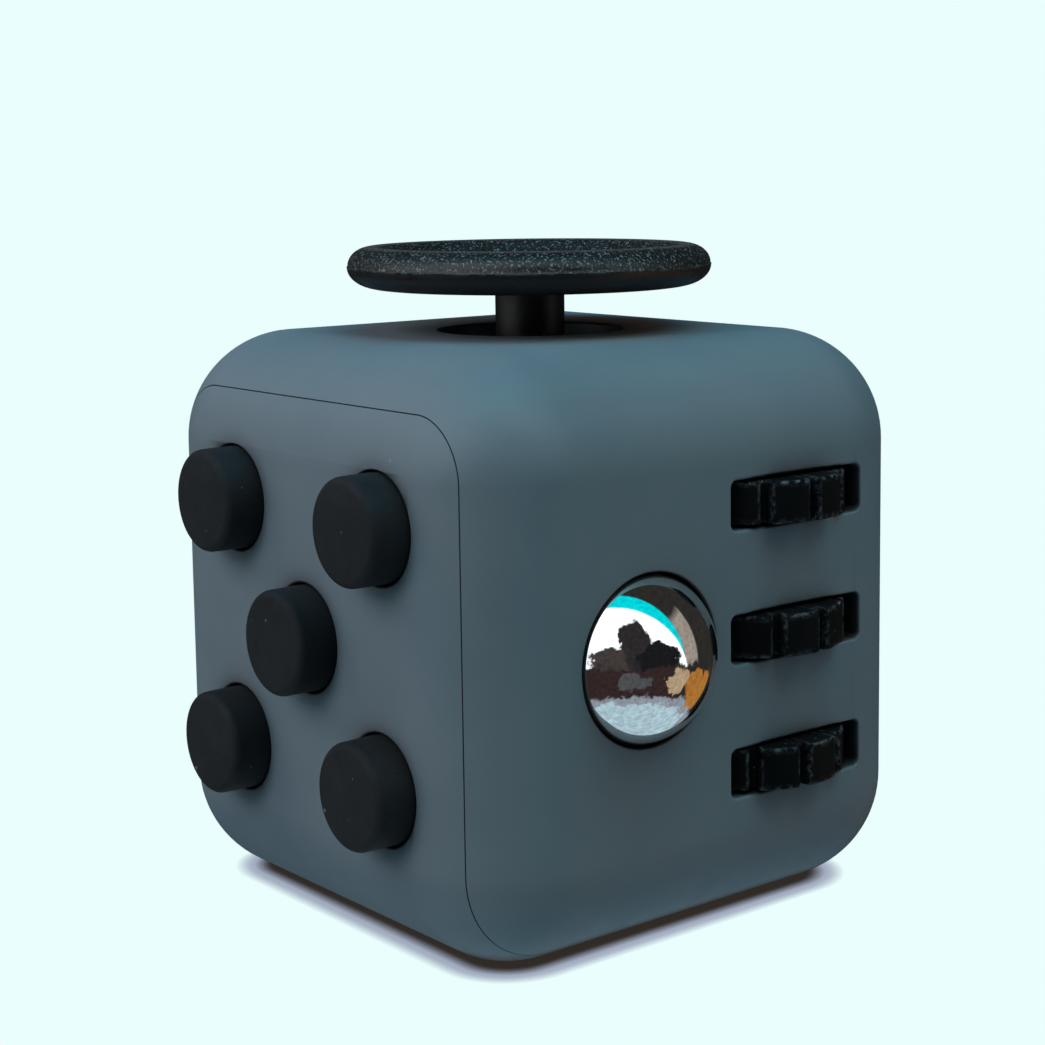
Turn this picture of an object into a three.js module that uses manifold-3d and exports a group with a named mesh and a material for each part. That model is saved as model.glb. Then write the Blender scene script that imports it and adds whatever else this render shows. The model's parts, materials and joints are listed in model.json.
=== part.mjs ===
// Fidget cube: a two-part body with a different toy on each face, every piece its own mesh.
// Millimetres, +Z up, origin at the bottom centre of the body.
// -Y five press buttons, +X rolling ball and three notched wheels, +Z gliding thumb disc,
// +Y rocker switch, -X spinning dial, -Z thumb rest.
import * as THREE from "three";
import { mergeVertices } from "three/addons/utils/BufferGeometryUtils.js";
import { RoundedBoxGeometry } from "three/addons/geometries/RoundedBoxGeometry.js";
import Module from "manifold-3d";

const wasm = await Module();
wasm.setup();

// ---- driving dimensions ------------------------------------------------------------------
const SIDE = 33; // outer side of the body
const H = SIDE / 2;
const EDGE_R = 6.45; // outer edge rounding
const WALL = 2;
const IN = H - WALL; // inner face of each wall from the centre
const PLAY = 0.1; // line between the two body parts
const SEAM_X = 13.53; // parting planes of the two body parts, on the rounded edges
const SEAM_Z = 30.02;
const SEAM_R = 3.47; // corner of the parting line
const REST_R = 9; // thumb rest in the bottom
const REST_DEPTH = 2.2;

const BTN_X = 0.5; // centre of the button group
const BTN_Z = 16.9;
const BTN_DX = 7.1; // spacing of the four outer buttons from the middle one
const BTN_DZ = 7.03;
const BTN_R = 2.95;
const BTN_H = 2.2; // stands proud of the wall
const BTN_HOLE_R = 3.05;
const PLATE_Y = -11.6; // front face of the button plate

const BALL_R = 5.0;
const BALL = [H + 2.85 - BALL_R, -5.26, 16.65];
const BALL_MOUTH_R = 4.72;
const BALL_LIP = 0.12;
const WHEEL_R = 5.4;
const WHEEL_T = 2.4;
const WHEEL_X = H + 1.5 - WHEEL_R;
const WHEEL_Y = 5.745;
const WHEEL_Z = { upper: 24.19, middle: 16.74, lower: 9.23 };
const WHEEL_TEETH = 11;
const TOOTH_DEG = 25;
const NOTCH_DEPTH = 0.75;
const WHEEL_PHASE = { upper: -17.8, middle: -10, lower: 8.0 }; // middle of one tooth, degrees
const SLOT_Y = [0.66, 10.83];
const SLOT_H = 2.745;
const AXLE_R = 1.0;

const DISC_R = 10.75;
const DISC_Z = 36.78; // height of the disc's widest line
const STEM_R = 2.05;
const STICK_HOLE_R = 5.55;
const GLIDE = 2.6; // how far the disc slides from the middle

const ROCKER_TILT = 8; // degrees each way
const ROCKER_R = 6.9; // pivot to end
const ROCKER_W = 8.2;
const PIVOT_Y = 13.6;

const DIAL_R = 7.45;
const DIAL_HOLE_R = 7.6;

// ---- helpers -----------------------------------------------------------------------------
function solid(geometry) {
  const g = geometry.clone();
  g.deleteAttribute("normal");
  g.deleteAttribute("uv");
  const m = mergeVertices(g, 1e-4);
  const p = m.attributes.position.array;
  const build = (flip) => {
    const tris = [];
    for (let i = 0; i < m.index.count; i += 3) {
      const [a, b, c] = [0, 1, 2].map((k) => m.index.array[i + k]);
      if (a !== b && b !== c && a !== c) tris.push(a, flip ? c : b, flip ? b : c);
    }
    return new wasm.Manifold(
      new wasm.Mesh({ numProp: 3, vertProperties: p, triVerts: Uint32Array.from(tris) }),
    );
  };
  const made = build(false);
  return made.volume() < 0 ? build(true) : made;
}

// Local Y (the axis of lathes and cylinders) or local Z (of extrusions) onto a world axis.
const LATHE_TO = {
  x: new THREE.Matrix4().makeBasis(
    new THREE.Vector3(0, 1, 0), new THREE.Vector3(1, 0, 0), new THREE.Vector3(0, 0, 1)),
  y: new THREE.Matrix4(),
  z: new THREE.Matrix4().makeBasis(
    new THREE.Vector3(1, 0, 0), new THREE.Vector3(0, 0, 1), new THREE.Vector3(0, 1, 0)),
};
const PRISM_TO = {
  x: new THREE.Matrix4().makeBasis(
    new THREE.Vector3(0, 1, 0), new THREE.Vector3(0, 0, 1), new THREE.Vector3(1, 0, 0)),
  y: new THREE.Matrix4().makeBasis(
    new THREE.Vector3(1, 0, 0), new THREE.Vector3(0, 0, 1), new THREE.Vector3(0, 1, 0)),
  z: new THREE.Matrix4(),
};

// A body turned about an axis: pairs of radius and height along the axis.
function turned(axis, at, pairs, segs = 24) {
  const pts = pairs.map(([r, h]) => new THREE.Vector2(r, h));
  const g = new THREE.LatheGeometry(pts, segs);
  g.applyMatrix4(LATHE_TO[axis]);
  g.translate(...at);
  return solid(g);
}
const rod = (axis, at, r, a, b, segs = 24) =>
  turned(axis, at, [[0, a], [r, a], [r, b], [0, b]], segs);
const ring = (axis, at, r0, r1, a, b, segs = 24) =>
  turned(axis, at, [[r0, a], [r1, a], [r1, b], [r0, b], [r0, a]], segs);

// A flat outline pushed along an axis. Outline plane: x -> (y, z), y -> (x, z), z -> (x, y).
function prism(axis, outline, a, b) {
  const shape = Array.isArray(outline)
    ? new THREE.Shape(outline.map(([u, v]) => new THREE.Vector2(u, v)))
    : outline;
  const g = new THREE.ExtrudeGeometry(shape, {
    depth: b - a, bevelEnabled: false, steps: 1, curveSegments: 3,
  });
  g.translate(0, 0, a);
  g.applyMatrix4(PRISM_TO[axis]);
  return solid(g);
}
function box(x0, x1, y0, y1, z0, z1) {
  const g = new THREE.BoxGeometry(x1 - x0, y1 - y0, z1 - z0);
  g.translate((x0 + x1) / 2, (y0 + y1) / 2, (z0 + z1) / 2);
  return solid(g);
}
function roundedBox(x0, x1, y0, y1, z0, z1, r, segs) {
  const g = new RoundedBoxGeometry(x1 - x0, y1 - y0, z1 - z0, segs, r);
  g.translate((x0 + x1) / 2, (y0 + y1) / 2, (z0 + z1) / 2);
  return solid(g);
}
function roundRect(u0, u1, v0, v1, r) {
  const s = new THREE.Shape();
  s.moveTo(u0 + r, v0);
  s.lineTo(u1 - r, v0);
  s.absarc(u1 - r, v0 + r, r, -Math.PI / 2, 0);
  s.lineTo(u1, v1 - r);
  s.absarc(u1 - r, v1 - r, r, 0, Math.PI / 2);
  s.lineTo(u0 + r, v1);
  s.absarc(u0 + r, v1 - r, r, Math.PI / 2, Math.PI);
  s.lineTo(u0, v0 + r);
  s.absarc(u0 + r, v0 + r, r, Math.PI, Math.PI * 1.5);
  return s;
}
const join = (...list) => list.reduce((a, b) => a.add(b));
const cut = (from, ...list) => list.reduce((a, b) => a.subtract(b), from);
const rad = (deg) => (deg * Math.PI) / 180;

// A coil spring with closed ends along an axis.
function coil(axis, at, r, wire, a, b, turns, perTurn = 12, sides = 5) {
  const rings = Math.round(turns * perTurn);
  const pos = [], idx = [];
  for (let i = 0; i <= rings; i++) {
    const t = (i / perTurn) * 2 * Math.PI;
    const h = a + wire + ((b - a - 2 * wire) * i) / rings;
    for (let k = 0; k < sides; k++) {
      const w = (k / sides) * 2 * Math.PI;
      const rr = r + wire * Math.cos(w);
      pos.push(rr * Math.cos(t), h + wire * Math.sin(w), rr * Math.sin(t));
    }
  }
  for (let i = 0; i < rings; i++)
    for (let k = 0; k < sides; k++) {
      const p = i * sides + k, q = i * sides + ((k + 1) % sides);
      idx.push(p, q, p + sides, q, q + sides, p + sides);
    }
  for (let k = 1; k < sides - 1; k++) {
    idx.push(0, k + 1, k);
    const e = rings * sides;
    idx.push(e, e + k, e + k + 1);
  }
  const g = new THREE.BufferGeometry();
  g.setAttribute("position", new THREE.Float32BufferAttribute(pos, 3));
  g.setIndex(idx);
  g.applyMatrix4(LATHE_TO[axis]);
  g.translate(...at);
  return solid(g);
}

// A cross-head screw: head from `head` away from the shaft, shaft to `tip`, along an axis.
function screw(axis, at, head, tip, headR = 1.2, shaftR = 0.65) {
  const s = Math.sign(head - tip);
  const top = head + s * 0.75;
  const body = turned(axis, at,
    [[0, tip], [shaftR, tip], [shaftR, head], [headR, head], [headR * 0.8, top], [0, top]], 8);
  const lo = Math.min(top - s * 0.4, top + s), hi = Math.max(top - s * 0.4, top + s);
  const bar = (p, q) => {
    const half = { x: [0, p, q], y: [p, 0, q], z: [p, q, 0] }[axis];
    const along = { x: 0, y: 1, z: 2 }[axis];
    const range = [0, 1, 2].map((k) =>
      k === along ? [lo, hi] : [at[k] - half[k], at[k] + half[k]]);
    return box(...range.flat());
  };
  return cut(body, join(bar(0.62, 0.16), bar(0.16, 0.62)));
}

const COLOUR = {
  body: 0x53626e, black: 0x17181a, rubber: 0x202124, steel: 0xb9bcc0, chrome: 0xe6e8ea,
  plastic: 0x2b2d30, silicone: 0x8d9196, brass: 0xb08d4f,
};
const root = new THREE.Group();
root.name = "fidget_cube";
function add(name, manifold, colour, metal = 0) {
  const m = manifold.getMesh();
  const n = m.numProp, v = new Float32Array(m.numVert * 3);
  for (let i = 0; i < m.numVert; i++) v.set(m.vertProperties.subarray(i * n, i * n + 3), i * 3);
  const g = new THREE.BufferGeometry();
  g.setAttribute("position", new THREE.BufferAttribute(v, 3));
  g.setIndex(new THREE.BufferAttribute(m.triVerts, 1));
  g.computeVertexNormals();
  const material = new THREE.MeshStandardMaterial({
    color: COLOUR[colour], metalness: metal, roughness: metal ? 0.25 : 0.6, flatShading: true,
  });
  const mesh = new THREE.Mesh(g, material);
  mesh.name = name;
  root.add(mesh);
}

// ---- body --------------------------------------------------------------------------------
// The parting line runs like that of a tennis ball: the upper part is an upside-down U of the
// top, right and left walls, the lower part a U of the front, bottom and back walls.
const outer = roundedBox(-H, H, -H, H, 0, SIDE, EDGE_R, 3);
const inner = roundedBox(-IN, IN, -IN, IN, WALL, SIDE - WALL, EDGE_R - WALL, 2);
const skin = cut(outer, inner);

function lowerDomain(grow) {
  const x = SEAM_X + grow, z = SEAM_Z + grow, r = SEAM_R + grow, n = 6;
  const outline = [[-x, -3], [x, -3]];
  for (const side of [0, 1])
    for (let i = 0; i <= n; i++) {
      const a = ((side + i / n) * Math.PI) / 2;
      outline.push([(side ? r - x : x - r) + r * Math.cos(a), z - r + r * Math.sin(a)]);
    }
  return prism("y", outline, -H - 2, H + 2);
}
const buttonAt = {
  upper_left: [BTN_X - BTN_DX, BTN_Z + BTN_DZ],
  upper_right: [BTN_X + BTN_DX, BTN_Z + BTN_DZ],
  centre: [BTN_X, BTN_Z],
  lower_left: [BTN_X - BTN_DX, BTN_Z - BTN_DZ],
  lower_right: [BTN_X + BTN_DX, BTN_Z - BTN_DZ],
};
const plateScrews = [[-10.6, 10.6], [10.6, 10.6], [-10.6, -10.6], [10.6, -10.6]]
  .map(([dx, dz]) => [BTN_X + dx, BTN_Z + dz]);
const rockerScrews = [[0, 7.8], [0, 25.2]];
const stickPosts = [[-9, -8.6], [9, -8.6], [-9, 8.6], [9, 8.6]];
const dialPosts = [[-8.8, 25.3], [8.8, 25.3], [-8.8, 7.7], [8.8, 7.7]];
const rollPosts = [[-8.9, 24.4, 1.3], [-8.9, 9.0, 1.3], [8.5, 5.9, 1.15]];

{
  let upper = cut(skin, lowerDomain(PLAY / 2));
  const posts = [
    ...stickPosts.map(([x, y]) => rod("z", [x, y, 0], 1.3, 28.0, 31.5, 10)),
    ...dialPosts.map(([y, z]) => rod("x", [0, y, z], 1.4, -15, -12.95, 10)),
    ...rollPosts.map(([y, z, r]) => rod("x", [0, y, z], r, 4.85, 15, 10)),
  ];
  upper = join(upper, ...posts);
  const mouth = [[0, BALL[0] - 3]];
  const clear = BALL_R + 0.1;
  mouth.push([clear, BALL[0] - 3], [clear, BALL[0]]);
  const last = Math.acos(BALL_MOUTH_R / clear);
  for (let i = 1; i <= 3; i++) {
    const a = (last * i) / 3;
    mouth.push([clear * Math.cos(a), BALL[0] + clear * Math.sin(a)]);
  }
  for (let i = 1; i <= 3; i++) {
    const a = (i / 3) * (Math.PI / 2);
    mouth.push([BALL_MOUTH_R + BALL_LIP * (1 - Math.cos(a)), H - BALL_LIP * (1 - Math.sin(a))]);
  }
  mouth.push([BALL_MOUTH_R + BALL_LIP, H + 1], [0, H + 1]);
  upper = cut(upper,
    rod("z", [0, 0, 0], STICK_HOLE_R, 30.5, 34, 28),
    turned("x", [0, BALL[1], BALL[2]], mouth, 24),
    rod("x", [0, 0, 16.5], DIAL_HOLE_R, -18, -14, 28),
    ...Object.values(WHEEL_Z).flatMap((z) => [
      prism("x", roundRect(SLOT_Y[0], SLOT_Y[1], z - SLOT_H / 2, z + SLOT_H / 2, 0.45), 14, 18),
      rod("z", [WHEEL_X, WHEEL_Y, 0], WHEEL_R + 0.25, z - SLOT_H / 2, z + SLOT_H / 2, 24),
    ]),
    ...stickPosts.map(([x, y]) => rod("z", [x, y, 0], 0.72, 27, 31.8, 8)),
    ...dialPosts.map(([y, z]) => rod("x", [0, y, z], 0.72, -15.6, -12, 8)),
    ...rollPosts.map(([y, z]) => rod("x", [0, y, z], 0.72, 4, 9.5, 8)),
  );
  add("upper_shell", upper, "body");

  let lower = skin.intersect(lowerDomain(-PLAY / 2));
  lower = join(lower, rod("z", [0, 0, 0], 10.2, 1.5, 4.2, 20),
    ...plateScrews.map(([x, z]) => rod("y", [x, 0, z], 1.45, -15, PLATE_Y - 0.05, 10)),
    ...rockerScrews.map(([x, z]) => rod("y", [x, 0, z], 1.5, 11.55, 15, 10)));
  const sphere = (REST_R ** 2 + REST_DEPTH ** 2) / (2 * REST_DEPTH);
  const bowl = [[0, REST_DEPTH]];
  for (let i = 1; i <= 4; i++) {
    const r = (REST_R * i) / 4;
    bowl.push([r, REST_DEPTH - sphere + Math.sqrt(sphere ** 2 - r ** 2)]);
  }
  bowl.push([REST_R, -2], [0, -2]);
  lower = cut(lower, turned("z", [0, 0, 0], bowl, 28),
    ...Object.values(buttonAt).map(([x, z]) => rod("y", [x, 0, z], BTN_HOLE_R, -18, -14, 24)),
    ...plateScrews.map(([x, z]) => rod("y", [x, 0, z], 0.72, -15.4, -11, 8)),
    ...rockerScrews.map(([x, z]) => rod("y", [x, 0, z], 0.72, 11, 15.4, 8)),
    box(-ROCKER_W / 2 - 0.2, ROCKER_W / 2 + 0.2, 14, 18, 16.5 - ROCKER_R - 0.15, 16.5 + ROCKER_R + 0.15));
  add("lower_shell", lower, "body");
}

// ---- front: five buttons over snap domes and soft pads -------------------------------------
const CLICKS = ["upper_left", "upper_right", "lower_right"];
const FACE_Y = -H - BTN_H;
for (const [where, [x, z]] of Object.entries(buttonAt)) {
  add("button_" + where, turned("y", [x, 0, z], [
    [0, FACE_Y], [BTN_R - 0.3, FACE_Y], [BTN_R, FACE_Y + 0.3],
    [BTN_R, -14.2], [3.35, -14.2], [3.35, -13.6], [0.8, -13.6], [0.8, -12.95], [0, -12.95],
  ], 20), "rubber");
  const snap = CLICKS.includes(where);
  const base = PLATE_Y - 0.03, edge = 2.75, high = 1.1, wall = snap ? 0.18 : 0.4, n = 3;
  const arc = (r, h) => Array.from({ length: n + 1 }, (_, i) => {
    const t = (i / n) * (Math.PI / 2);
    return [r * Math.sin(t), base - h * Math.cos(t)];
  });
  const outside = arc(edge, high), inside = arc(edge - wall, high - wall).reverse();
  const dome = turned("y", [x, 0, z], [...outside, ...inside], 16);
  add((snap ? "snap_dome_" : "soft_pad_") + where, dome, snap ? "steel" : "silicone", snap ? 1 : 0);
}
{
  const plate = prism("y", roundRect(BTN_X - 12.2, BTN_X + 12.2, BTN_Z - 12, BTN_Z + 12, 2.4),
    PLATE_Y, PLATE_Y + 0.9);
  add("button_plate", cut(plate,
    ...plateScrews.map(([x, z]) => rod("y", [x, 0, z], 0.85, -13, -9, 8))), "plastic");
  plateScrews.forEach(([x, z], i) =>
    add("button_plate_screw_" + (i + 1), screw("y", [x, 0, z], PLATE_Y + 0.92, -14.6), "steel", 1));
}

// ---- right: ball in a sprung cup, three notched wheels on one pin ---------------------------
{
  const ballG = new THREE.SphereGeometry(BALL_R, 24, 14);
  ballG.translate(...BALL);
  add("chrome_ball", solid(ballG), "chrome", 1);

  const back = BALL[0] - BALL_R, pocket = BALL_R + 0.06, lipX = 11.3;
  const cup = [[0, back - 1.3], [4.55, back - 1.3], [4.55, lipX]];
  const open = Math.asin((BALL[0] - lipX) / pocket);
  for (let i = 0; i <= 6; i++) {
    const a = open + ((Math.PI / 2 - open) * i) / 6;
    cup.push([pocket * Math.cos(a), BALL[0] - pocket * Math.sin(a)]);
  }
  const wheelRoom = rod("z", [WHEEL_X, WHEEL_Y, 0], WHEEL_R + 0.35, 7, 26.5, 24);
  add("ball_cup", cut(turned("x", [0, BALL[1], BALL[2]], cup, 24), wheelRoom), "plastic");
  add("ball_spring", coil("x", [0, BALL[1], BALL[2]], 2.9, 0.32, 4.95, back - 1.4, 2.5), "steel", 1);

  const px = 3.6, qx = 4.8;
  const arm = (z0, z1) => prism("z",
    [[px, 2.9], [10, 2.9], [13.2, 4.2], [14.3, 4.2], [14.3, 7.3], [13.2, 7.3], [10, 8.6], [px, 8.6]], z0, z1);
  let bracket = join(
    prism("x", roundRect(-10.2, 10.2, 4.7, 26.1, 1.2), px, qx),
    ring("x", [0, BALL[1], BALL[2]], 4.72, 5.2, px + 0.5, lipX - 0.2, 24),
    arm(25.5, 26.1), arm(7.25, 7.95));
  bracket = cut(bracket, wheelRoom.intersect(box(5, 20, -10, 15, 7.95, 25.5)),
    rod("z", [WHEEL_X, WHEEL_Y, 0], AXLE_R + 0.04, 7, 27, 20),
    ...rollPosts.map(([y, z]) => rod("x", [0, y, z], 0.85, 3, 5.5, 8)));
  add("roll_bracket", bracket, "plastic");
  rollPosts.forEach(([y, z], i) =>
    add("roll_bracket_screw_" + (i + 1), screw("x", [0, y, z], px - 0.02, 9.2), "steel", 1));
  add("wheel_axle", turned("z", [WHEEL_X, WHEEL_Y, 0],
    [[0, 7.2], [AXLE_R - 0.2, 7.2], [AXLE_R, 7.4], [AXLE_R, 25.9], [AXLE_R - 0.2, 26.1], [0, 26.1]], 20),
    "steel", 1);

  const pitch = 360 / WHEEL_TEETH;
  for (const [where, z] of Object.entries(WHEEL_Z)) {
    const outline = [];
    for (let i = 0; i < WHEEL_TEETH; i++) {
      const mid = WHEEL_PHASE[where] + i * pitch;
      for (const [off, r] of [[-0.5, -0.12], [-0.36, 0], [0.36, 0], [0.5, -0.12]]) {
        const a = rad(mid + off * TOOTH_DEG);
        outline.push([WHEEL_X + (WHEEL_R + r) * Math.cos(a), WHEEL_Y + (WHEEL_R + r) * Math.sin(a)]);
      }
      const gap = pitch - TOOTH_DEG;
      for (const off of [-0.25, 0.25]) {
        const a = rad(mid + pitch / 2 + off * gap);
        const r = WHEEL_R - NOTCH_DEPTH;
        outline.push([WHEEL_X + r * Math.cos(a), WHEEL_Y + r * Math.sin(a)]);
      }
    }
    const wheel = prism("z", outline, z - WHEEL_T / 2, z + WHEEL_T / 2);
    const bore = rod("z", [WHEEL_X, WHEEL_Y, 0], AXLE_R + 0.08, z - 3, z + 3, 16);
    add("wheel_" + where, cut(wheel, bore), "black");
  }
  const comb = [box(qx + 0.02, qx + 0.22, 8.7, 10, 7.5, 25)];
  for (const z of Object.values(WHEEL_Z))
    comb.push(prism("z", [[qx + 0.02, 9], [qx + 0.22, 9], [7.0, 6.4], [6.8, 6.3], [qx + 0.02, 8.7]],
      z - 0.8, z + 0.8));
  add("wheel_click_comb", join(...comb), "steel", 1);
}

// ---- top: thumb disc on a stem, gliding under the top wall -----------------------------------
{
  const low = 35.52, crest = 37.96, dish = 37.0;
  const disc = [
    [0, 30.95], [STEM_R, 30.95], [STEM_R, low], [8.9, low], [10.1, 35.85], [10.62, 36.3],
    [DISC_R, DISC_Z], [10.5, 37.33], [9.85, 37.78], [9.1, crest], [8.3, 37.78], [7.6, 37.2], [6.4, 37.04],
    [0, dish],
  ];
  add("joystick_disc", cut(turned("z", [0, 0, 0], disc, 30),
    rod("z", [0, 0, 0], 0.72, 30, 34.4, 8)), "black");
  add("joystick_skirt", cut(turned("z", [0, 0, 0], [
    [0, 28.05], [1.25, 28.05], [1.25, 29.7], [8.4, 29.7], [8.4, 30.2], [7.4, 30.85], [0, 30.85],
  ], 24), rod("z", [0, 0, 0], 0.8, 27, 32, 8)), "plastic");
  add("joystick_screw", screw("z", [0, 0, 0], 28.0, 33.9, 1.15), "steel", 1);
  add("centring_ring", ring("z", [0, 0, 0], 1.6, 6.2, 28.97, 29.6, 20), "silicone");
  add("glide_carriage", cut(rod("z", [0, 0, 0], 5.9, 28.02, 28.9, 24),
    prism("z", roundRect(-1.4, GLIDE + 1.4, -1.38, 1.38, 1.3), 27, 30)), "plastic");
  let base = join(
    prism("z", roundRect(-10.3, 10.3, -9.9, 9.9, 2.2), 26.9, 27.95),
    ring("z", [0, 0, 0], 6.35, 7.3, 27.5, 29.55, 24));
  base = cut(base, rod("z", [0, 0, 0], 4.35, 26, 30, 20),
    ...stickPosts.map(([x, y]) => rod("z", [x, y, 0], 0.85, 26, 29, 8)));
  add("joystick_base", base, "plastic");
  stickPosts.forEach(([x, y], i) =>
    add("joystick_base_screw_" + (i + 1), screw("z", [x, y, 0], 26.88, 31.2, 1.15), "steel", 1));
}

// ---- back: rocker switch ---------------------------------------------------------------------
{
  const profile = [];
  const yOut = 3.6, yMid = 3.1, zEnd = Math.sqrt(ROCKER_R ** 2 - yOut ** 2);
  const end = (s) => {
    const list = [];
    for (let i = 0; i <= 4; i++) {
      const y = 0.9 + ((yOut - 0.9) * i) / 4;
      list.push([y, s * Math.sqrt(ROCKER_R ** 2 - y ** 2)]);
    }
    return list;
  };
  profile.push(...end(1), [yMid + 0.12, zEnd * 0.5], [yMid, 0], [yMid + 0.12, -zEnd * 0.5],
    ...end(-1).reverse(), [0.9, -2.2]);
  for (let i = 0; i <= 8; i++) {
    const a = rad(-115 - (i * 130) / 8);
    profile.push([1.7 * Math.cos(a), 1.7 * Math.sin(a)]);
  }
  profile.push([0.9, 2.2]);
  const tilt = rad(ROCKER_TILT);
  const placed = profile.map(([y, z]) => [
    PIVOT_Y + y * Math.cos(tilt) + z * Math.sin(tilt),
    16.5 - y * Math.sin(tilt) + z * Math.cos(tilt),
  ]);
  const bore = rod("x", [0, PIVOT_Y, 16.5], 0.85, -7, 7, 16);
  add("rocker", cut(prism("x", placed, -ROCKER_W / 2, ROCKER_W / 2), bore), "black");
  add("rocker_pin", rod("x", [0, PIVOT_Y, 16.5], 0.8, -6.1, 6.1, 16), "steel", 1);
  const ear = (a, b) => prism("x",
    [[10.6, 14.2], [14.3, 15.0], [14.3, 18.0], [10.6, 18.8]], a, b);
  let frame = join(prism("x", [[10.3, 6.2], [11.5, 6.2], [11.5, 26.8], [10.3, 26.8]], -5.9, 5.9),
    ear(-5.8, -4.5), ear(4.5, 5.8));
  frame = cut(frame, rod("x", [0, PIVOT_Y, 16.5], 0.84, -7, 7, 16),
    ...rockerScrews.map(([x, z]) => rod("y", [x, 0, z], 0.85, 9, 12, 8)));
  add("rocker_frame", frame, "plastic");
  rockerScrews.forEach(([x, z], i) =>
    add("rocker_frame_screw_" + (i + 1), screw("y", [x, 0, z], 10.28, 15.2), "steel", 1));
  const leaf = [];
  for (let i = 0; i <= 6; i++) {
    const z = 12.3 + i * 1.4, bow = 0.26 * Math.sin((Math.PI * i) / 6);
    leaf.push([11.53 + bow * 0.3, z]);
  }
  const top = leaf.map(([y, z]) => [y + 0.2, z]).reverse();
  add("rocker_leaf_spring", prism("x", [...leaf, ...top], -2.6, 2.6), "steel", 1);
}

// ---- left: spinning dial with an off-centre nub ------------------------------------------------
{
  const at = [0, 0, 16.5];
  const face = -H - 0.1;
  let dial = turned("x", at, [
    [0, face + 0.55], [4.5, face + 0.4], [6.7, face], [DIAL_R - 0.3, face], [DIAL_R, face + 0.3],
    [DIAL_R, -14.35], [8.4, -14.35], [8.4, -13.6], [2.6, -13.6], [2.6, -11.55], [0, -11.55],
  ], 28);
  dial = join(dial, turned("x", [0, 3.6, 16.5 + 2.2],
    [[0, face + 0.6], [1.9, face + 0.6], [1.85, -H - 1.3], [1.5, -H - 1.75], [0.8, -H - 1.9], [0, -H - 1.9]], 14));
  add("dial", cut(dial, rod("x", at, 0.72, -14.5, -10, 12)), "black");
  let housing = cut(prism("x", roundRect(-10.3, 10.3, 6.2, 26.8, 1.5), -12.9, -11.75),
    rod("x", at, 2.7, -14, -10, 24),
    ...dialPosts.map(([y, z]) => rod("x", [0, y, z], 0.85, -14, -10, 8)));
  add("dial_housing", housing, "plastic");
  const n = 12, outline = [];
  for (let i = 0; i < n; i++) {
    for (const [off, r] of [[-0.3, 4.3], [0.3, 4.3], [0.5, 3.8]]) {
      const a = rad(((i + off) * 360) / n);
      outline.push([r * Math.cos(a), 16.5 + r * Math.sin(a)]);
    }
  }
  add("dial_click_ring", cut(prism("x", outline, -11.5, -10.4), rod("x", at, 0.9, -13, -9, 12)), "plastic");
  add("dial_screw", screw("x", at, -10.36, -14.0), "steel", 1);
  add("dial_click_spring", prism("x",
    [[-7, 21.2], [-7, 22.0], [7, 22.0], [7, 21.2], [2.2, 21.0], [0, 20.86], [-2.2, 21.0]], -11.7, -10.9),
    "steel", 1);
  dialPosts.forEach(([y, z], i) =>
    add("dial_housing_screw_" + (i + 1), screw("x", [0, y, z], -11.72, -15.3), "steel", 1));
}

export default root;
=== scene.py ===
"""Looks of the fidget cube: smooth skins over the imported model, procedural finishes and a pale studio."""

import json
import math

import bmesh
import bpy
from mathutils import Matrix, Vector


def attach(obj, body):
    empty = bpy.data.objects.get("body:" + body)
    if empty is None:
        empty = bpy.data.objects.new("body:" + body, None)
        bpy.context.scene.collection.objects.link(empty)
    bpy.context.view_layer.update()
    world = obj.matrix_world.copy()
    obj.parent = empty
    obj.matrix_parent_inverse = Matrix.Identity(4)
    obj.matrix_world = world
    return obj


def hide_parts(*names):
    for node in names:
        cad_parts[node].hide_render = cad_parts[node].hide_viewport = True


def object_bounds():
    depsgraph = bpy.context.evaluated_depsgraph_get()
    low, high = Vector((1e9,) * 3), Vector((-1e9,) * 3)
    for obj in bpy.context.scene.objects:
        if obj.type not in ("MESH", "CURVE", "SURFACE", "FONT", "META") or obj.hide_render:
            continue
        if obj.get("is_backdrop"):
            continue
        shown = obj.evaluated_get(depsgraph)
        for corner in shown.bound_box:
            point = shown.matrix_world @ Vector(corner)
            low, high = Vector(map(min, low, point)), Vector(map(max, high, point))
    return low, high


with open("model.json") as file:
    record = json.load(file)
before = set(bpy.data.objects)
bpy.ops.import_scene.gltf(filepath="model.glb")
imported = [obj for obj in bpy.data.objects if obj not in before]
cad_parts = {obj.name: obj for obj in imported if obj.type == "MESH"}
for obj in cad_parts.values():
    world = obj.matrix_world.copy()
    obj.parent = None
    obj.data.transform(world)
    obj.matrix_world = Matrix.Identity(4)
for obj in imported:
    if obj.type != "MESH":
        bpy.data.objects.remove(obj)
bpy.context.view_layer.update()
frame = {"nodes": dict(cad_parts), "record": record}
MM = 0.001
TAU = 2 * math.pi
scene = bpy.context.scene

# ---- sizes in millimetres, the same as the model's -------------------------------------------
H, SIDE, EDGE_R, WALL = 16.5, 33.0, 6.45, 2.0
SEAM_X, SEAM_Z, SEAM_R, SEAM_GAP = 13.53, 30.02, 3.47, 0.03
BUTTONS = {"upper_left": (-6.6, 23.93), "upper_right": (7.6, 23.93), "centre": (0.5, 16.9),
           "lower_left": (-6.6, 9.87), "lower_right": (7.6, 9.87)}
BUTTON_R, BUTTON_PROUD = 2.95, 2.2
BALL, BALL_R, BALL_MOUTH_R, BALL_LIP = (14.35, -5.26, 16.65), 5.0, 4.72, 0.12
WHEEL_X, WHEEL_Y, WHEEL_R, WHEEL_HALF, WHEEL_BORE_R, TEETH, NOTCH = 12.6, 5.745, 5.4, 1.2, 1.08, 11, 0.72
WHEELS = {"upper": (24.19, -17.8), "middle": (16.74, -10.0), "lower": (9.23, 8.0)}
SLOT_Y, SLOT_H = (0.66, 10.83), 2.745
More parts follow.
